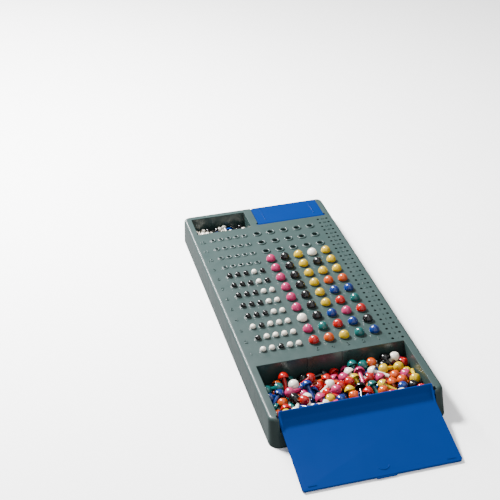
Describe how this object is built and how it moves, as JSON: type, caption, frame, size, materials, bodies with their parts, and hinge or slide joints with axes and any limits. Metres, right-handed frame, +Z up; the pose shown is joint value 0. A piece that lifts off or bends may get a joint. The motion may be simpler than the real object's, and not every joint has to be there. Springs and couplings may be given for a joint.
{
  "type": "code breaking peg game",
  "caption": "Code breaking peg game: long drilled board with peg bins, a swinging storage lid, a code shield and mushroom-headed pegs that pull out.",
  "frame": {"origin": "on the table, in the middle of the outline that the game covers with its storage lid open", "axes": "+Z up from the table, +Y along the board from the large peg bin to the code shield, +X to the right of a player who sits at the large bin"},
  "size_m": [0.12, 0.322, 0.0252],
  "materials": {
    "board_plastic": "grey-green moulded plastic, satin with a fine grain",
    "lid_plastic": "saturated blue moulded plastic, half gloss",
    "peg_red": "glossy moulded plastic",
    "peg_orange": "glossy moulded plastic",
    "peg_yellow": "glossy moulded plastic",
    "peg_teal": "glossy moulded plastic",
    "peg_blue": "glossy moulded plastic",
    "peg_pink": "glossy moulded plastic",
    "peg_white": "glossy moulded plastic",
    "peg_black": "glossy moulded plastic"
  },
  "bodies": {
    "board": {"playing_board": "board_plastic", "loose_code_pegs": "peg_orange", "loose_key_pegs": "peg_white", "secret_code_pegs": "peg_pink"},
    "storage_lid": {"storage_lid": "lid_plastic"},
    "code_shield": {"code_shield": "lid_plastic"},
    "code_peg_r1_c1": {"code_peg_r1_c1": "peg_red"},
    "code_peg_r1_c2": {"code_peg_r1_c2": "peg_orange"},
    "code_peg_r1_c3": {"code_peg_r1_c3": "peg_yellow"},
    "code_peg_r1_c4": {"code_peg_r1_c4": "peg_teal"},
    "code_peg_r1_c5": {"code_peg_r1_c5": "peg_blue"},
    "code_peg_r2_c1": {"code_peg_r2_c1": "peg_pink"},
    "code_peg_r2_c2": {"code_peg_r2_c2": "peg_teal"},
    "code_peg_r2_c3": {"code_peg_r2_c3": "peg_red"},
    "code_peg_r2_c4": {"code_peg_r2_c4": "peg_blue"},
    "code_peg_r2_c5": {"code_peg_r2_c5": "peg_black"},
    "code_peg_r3_c1": {"code_peg_r3_c1": "peg_white"},
    "code_peg_r3_c2": {"code_peg_r3_c2": "peg_black"},
    "code_peg_r3_c3": {"code_peg_r3_c3": "peg_blue"},
    "code_peg_r3_c4": {"code_peg_r3_c4": "peg_pink"},
    "code_peg_r3_c5": {"code_peg_r3_c5": "peg_red"},
    "code_peg_r4_c1": {"code_peg_r4_c1": "peg_pink"},
    "code_peg_r4_c2": {"code_peg_r4_c2": "peg_black"},
    "code_peg_r4_c3": {"code_peg_r4_c3": "peg_yellow"},
    "code_peg_r4_c4": {"code_peg_r4_c4": "peg_red"},
    "code_peg_r4_c5": {"code_peg_r4_c5": "peg_teal"},
    "code_peg_r5_c1": {"code_peg_r5_c1": "peg_pink"},
    "code_peg_r5_c2": {"code_peg_r5_c2": "peg_black"},
    "code_peg_r5_c3": {"code_peg_r5_c3": "peg_yellow"},
    "code_peg_r5_c4": {"code_peg_r5_c4": "peg_blue"},
    "code_peg_r5_c5": {"code_peg_r5_c5": "peg_blue"},
    "code_peg_r6_c1": {"code_peg_r6_c1": "peg_pink"},
    "code_peg_r6_c2": {"code_peg_r6_c2": "peg_black"},
    "code_peg_r6_c3": {"code_peg_r6_c3": "peg_yellow"},
    "code_peg_r6_c4": {"code_peg_r6_c4": "peg_orange"},
    "code_peg_r6_c5": {"code_peg_r6_c5": "peg_orange"},
    "code_peg_r7_c1": {"code_peg_r7_c1": "peg_pink"},
    "code_peg_r7_c2": {"code_peg_r7_c2": "peg_black"},
    "code_peg_r7_c3": {"code_peg_r7_c3": "peg_yellow"},
    "code_peg_r7_c4": {"code_peg_r7_c4": "peg_yellow"},
    "code_peg_r7_c5": {"code_peg_r7_c5": "peg_yellow"},
    "code_peg_r8_c1": {"code_peg_r8_c1": "peg_pink"},
    "code_peg_r8_c2": {"code_peg_r8_c2": "peg_black"},
    "code_peg_r8_c3": {"code_peg_r8_c3": "peg_yellow"},
    "code_peg_r8_c4": {"code_peg_r8_c4": "peg_black"},
    "code_peg_r8_c5": {"code_peg_r8_c5": "peg_yellow"},
    "code_peg_r9_c1": {"code_peg_r9_c1": "peg_pink"},
    "code_peg_r9_c2": {"code_peg_r9_c2": "peg_black"},
    "code_peg_r9_c3": {"code_peg_r9_c3": "peg_yellow"},
    "code_peg_r9_c4": {"code_peg_r9_c4": "peg_white"},
    "code_peg_r9_c5": {"code_peg_r9_c5": "peg_yellow"},
    "key_pegs_row_1": {"key_pegs_row_1": "peg_white"},
    "key_pegs_row_2": {"key_pegs_row_2": "peg_white"},
    "key_pegs_row_3": {"key_pegs_row_3": "peg_white"},
    "key_pegs_row_4": {"key_pegs_row_4": "peg_white"},
    "key_pegs_row_5": {"key_pegs_row_5": "peg_white"},
    "key_pegs_row_6": {"key_pegs_row_6": "peg_white"},
    "key_pegs_row_7": {"key_pegs_row_7": "peg_white"},
    "key_pegs_row_8": {"key_pegs_row_8": "peg_white"}
  },
  "joints": [
    {"name": "storage_lid_hinge", "type": "hinge", "parent": "board", "child": "storage_lid", "pos_m": [0, -0.10865, 0.0161], "axis": [-1, 0, 0], "range_deg": [0, 193.5]},
    {"name": "code_shield_hinge", "type": "hinge", "parent": "board", "child": "code_shield", "pos_m": [0.02571, 0.13225, 0.0179], "axis": [1, 0, 0], "range_deg": [0, 95]},
    {"name": "code_peg_r1_c1_pull", "type": "slide", "parent": "board", "child": "code_peg_r1_c1", "axis": [0, 0, 1], "range_m": [0, 0.025]},
    {"name": "code_peg_r1_c2_pull", "type": "slide", "parent": "board", "child": "code_peg_r1_c2", "axis": [0, 0, 1], "range_m": [0, 0.025]},
    {"name": "code_peg_r1_c3_pull", "type": "slide", "parent": "board", "child": "code_peg_r1_c3", "axis": [0, 0, 1], "range_m": [0, 0.025]},
    {"name": "code_peg_r1_c4_pull", "type": "slide", "parent": "board", "child": "code_peg_r1_c4", "axis": [0, 0, 1], "range_m": [0, 0.025]},
    {"name": "code_peg_r1_c5_pull", "type": "slide", "parent": "board", "child": "code_peg_r1_c5", "axis": [0, 0, 1], "range_m": [0, 0.025]},
    {"name": "code_peg_r2_c1_pull", "type": "slide", "parent": "board", "child": "code_peg_r2_c1", "axis": [0, 0, 1], "range_m": [0, 0.025]},
    {"name": "code_peg_r2_c2_pull", "type": "slide", "parent": "board", "child": "code_peg_r2_c2", "axis": [0, 0, 1], "range_m": [0, 0.025]},
    {"name": "code_peg_r2_c3_pull", "type": "slide", "parent": "board", "child": "code_peg_r2_c3", "axis": [0, 0, 1], "range_m": [0, 0.025]},
    {"name": "code_peg_r2_c4_pull", "type": "slide", "parent": "board", "child": "code_peg_r2_c4", "axis": [0, 0, 1], "range_m": [0, 0.025]},
    {"name": "code_peg_r2_c5_pull", "type": "slide", "parent": "board", "child": "code_peg_r2_c5", "axis": [0, 0, 1], "range_m": [0, 0.025]},
    {"name": "code_peg_r3_c1_pull", "type": "slide", "parent": "board", "child": "code_peg_r3_c1", "axis": [0, 0, 1], "range_m": [0, 0.025]},
    {"name": "code_peg_r3_c2_pull", "type": "slide", "parent": "board", "child": "code_peg_r3_c2", "axis": [0, 0, 1], "range_m": [0, 0.025]},
    {"name": "code_peg_r3_c3_pull", "type": "slide", "parent": "board", "child": "code_peg_r3_c3", "axis": [0, 0, 1], "range_m": [0, 0.025]},
    {"name": "code_peg_r3_c4_pull", "type": "slide", "parent": "board", "child": "code_peg_r3_c4", "axis": [0, 0, 1], "range_m": [0, 0.025]},
    {"name": "code_peg_r3_c5_pull", "type": "slide", "parent": "board", "child": "code_peg_r3_c5", "axis": [0, 0, 1], "range_m": [0, 0.025]},
    {"name": "code_peg_r4_c1_pull", "type": "slide", "parent": "board", "child": "code_peg_r4_c1", "axis": [0, 0, 1], "range_m": [0, 0.025]},
    {"name": "code_peg_r4_c2_pull", "type": "slide", "parent": "board", "child": "code_peg_r4_c2", "axis": [0, 0, 1], "range_m": [0, 0.025]},
    {"name": "code_peg_r4_c3_pull", "type": "slide", "parent": "board", "child": "code_peg_r4_c3", "axis": [0, 0, 1], "range_m": [0, 0.025]},
    {"name": "code_peg_r4_c4_pull", "type": "slide", "parent": "board", "child": "code_peg_r4_c4", "axis": [0, 0, 1], "range_m": [0, 0.025]},
    {"name": "code_peg_r4_c5_pull", "type": "slide", "parent": "board", "child": "code_peg_r4_c5", "axis": [0, 0, 1], "range_m": [0, 0.025]},
    {"name": "code_peg_r5_c1_pull", "type": "slide", "parent": "board", "child": "code_peg_r5_c1", "axis": [0, 0, 1], "range_m": [0, 0.025]},
    {"name": "code_peg_r5_c2_pull", "type": "slide", "parent": "board", "child": "code_peg_r5_c2", "axis": [0, 0, 1], "range_m": [0, 0.025]},
    {"name": "code_peg_r5_c3_pull", "type": "slide", "parent": "board", "child": "code_peg_r5_c3", "axis": [0, 0, 1], "range_m": [0, 0.025]},
    {"name": "code_peg_r5_c4_pull", "type": "slide", "parent": "board", "child": "code_peg_r5_c4", "axis": [0, 0, 1], "range_m": [0, 0.025]},
    {"name": "code_peg_r5_c5_pull", "type": "slide", "parent": "board", "child": "code_peg_r5_c5", "axis": [0, 0, 1], "range_m": [0, 0.025]},
    {"name": "code_peg_r6_c1_pull", "type": "slide", "parent": "board", "child": "code_peg_r6_c1", "axis": [0, 0, 1], "range_m": [0, 0.025]},
    {"name": "code_peg_r6_c2_pull", "type": "slide", "parent": "board", "child": "code_peg_r6_c2", "axis": [0, 0, 1], "range_m": [0, 0.025]},
    {"name": "code_peg_r6_c3_pull", "type": "slide", "parent": "board", "child": "code_peg_r6_c3", "axis": [0, 0, 1], "range_m": [0, 0.025]},
    {"name": "code_peg_r6_c4_pull", "type": "slide", "parent": "board", "child": "code_peg_r6_c4", "axis": [0, 0, 1], "range_m": [0, 0.025]},
    {"name": "code_peg_r6_c5_pull", "type": "slide", "parent": "board", "child": "code_peg_r6_c5", "axis": [0, 0, 1], "range_m": [0, 0.025]},
    {"name": "code_peg_r7_c1_pull", "type": "slide", "parent": "board", "child": "code_peg_r7_c1", "axis": [0, 0, 1], "range_m": [0, 0.025]},
    {"name": "code_peg_r7_c2_pull", "type": "slide", "parent": "board", "child": "code_peg_r7_c2", "axis": [0, 0, 1], "range_m": [0, 0.025]},
    {"name": "code_peg_r7_c3_pull", "type": "slide", "parent": "board", "child": "code_peg_r7_c3", "axis": [0, 0, 1], "range_m": [0, 0.025]},
    {"name": "code_peg_r7_c4_pull", "type": "slide", "parent": "board", "child": "code_peg_r7_c4", "axis": [0, 0, 1], "range_m": [0, 0.025]},
    {"name": "code_peg_r7_c5_pull", "type": "slide", "parent": "board", "child": "code_peg_r7_c5", "axis": [0, 0, 1], "range_m": [0, 0.025]},
    {"name": "code_peg_r8_c1_pull", "type": "slide", "parent": "board", "child": "code_peg_r8_c1", "axis": [0, 0, 1], "range_m": [0, 0.025]},
    {"name": "code_peg_r8_c2_pull", "type": "slide", "parent": "board", "child": "code_peg_r8_c2", "axis": [0, 0, 1], "range_m": [0, 0.025]},
    {"name": "code_peg_r8_c3_pull", "type": "slide", "parent": "board", "child": "code_peg_r8_c3", "axis": [0, 0, 1], "range_m": [0, 0.025]},
    {"name": "code_peg_r8_c4_pull", "type": "slide", "parent": "board", "child": "code_peg_r8_c4", "axis": [0, 0, 1], "range_m": [0, 0.025]},
    {"name": "code_peg_r8_c5_pull", "type": "slide", "parent": "board", "child": "code_peg_r8_c5", "axis": [0, 0, 1], "range_m": [0, 0.025]},
    {"name": "code_peg_r9_c1_pull", "type": "slide", "parent": "board", "child": "code_peg_r9_c1", "axis": [0, 0, 1], "range_m": [0, 0.025]},
    {"name": "code_peg_r9_c2_pull", "type": "slide", "parent": "board", "child": "code_peg_r9_c2", "axis": [0, 0, 1], "range_m": [0, 0.025]},
    {"name": "code_peg_r9_c3_pull", "type": "slide", "parent": "board", "child": "code_peg_r9_c3", "axis": [0, 0, 1], "range_m": [0, 0.025]},
    {"name": "code_peg_r9_c4_pull", "type": "slide", "parent": "board", "child": "code_peg_r9_c4", "axis": [0, 0, 1], "range_m": [0, 0.025]},
    {"name": "code_peg_r9_c5_pull", "type": "slide", "parent": "board", "child": "code_peg_r9_c5", "axis": [0, 0, 1], "range_m": [0, 0.025]},
    {"name": "key_pegs_row_1_pull", "type": "slide", "parent": "board", "child": "key_pegs_row_1", "axis": [0, 0, 1], "range_m": [0, 0.02]},
    {"name": "key_pegs_row_2_pull", "type": "slide", "parent": "board", "child": "key_pegs_row_2", "axis": [0, 0, 1], "range_m": [0, 0.02]},
    {"name": "key_pegs_row_3_pull", "type": "slide", "parent": "board", "child": "key_pegs_row_3", "axis": [0, 0, 1], "range_m": [0, 0.02]},
    {"name": "key_pegs_row_4_pull", "type": "slide", "parent": "board", "child": "key_pegs_row_4", "axis": [0, 0, 1], "range_m": [0, 0.02]},
    {"name": "key_pegs_row_5_pull", "type": "slide", "parent": "board", "child": "key_pegs_row_5", "axis": [0, 0, 1], "range_m": [0, 0.02]},
    {"name": "key_pegs_row_6_pull", "type": "slide", "parent": "board", "child": "key_pegs_row_6", "axis": [0, 0, 1], "range_m": [0, 0.02]},
    {"name": "key_pegs_row_7_pull", "type": "slide", "parent": "board", "child": "key_pegs_row_7", "axis": [0, 0, 1], "range_m": [0, 0.02]},
    {"name": "key_pegs_row_8_pull", "type": "slide", "parent": "board", "child": "key_pegs_row_8", "axis": [0, 0, 1], "range_m": [0, 0.02]}
  ]
}
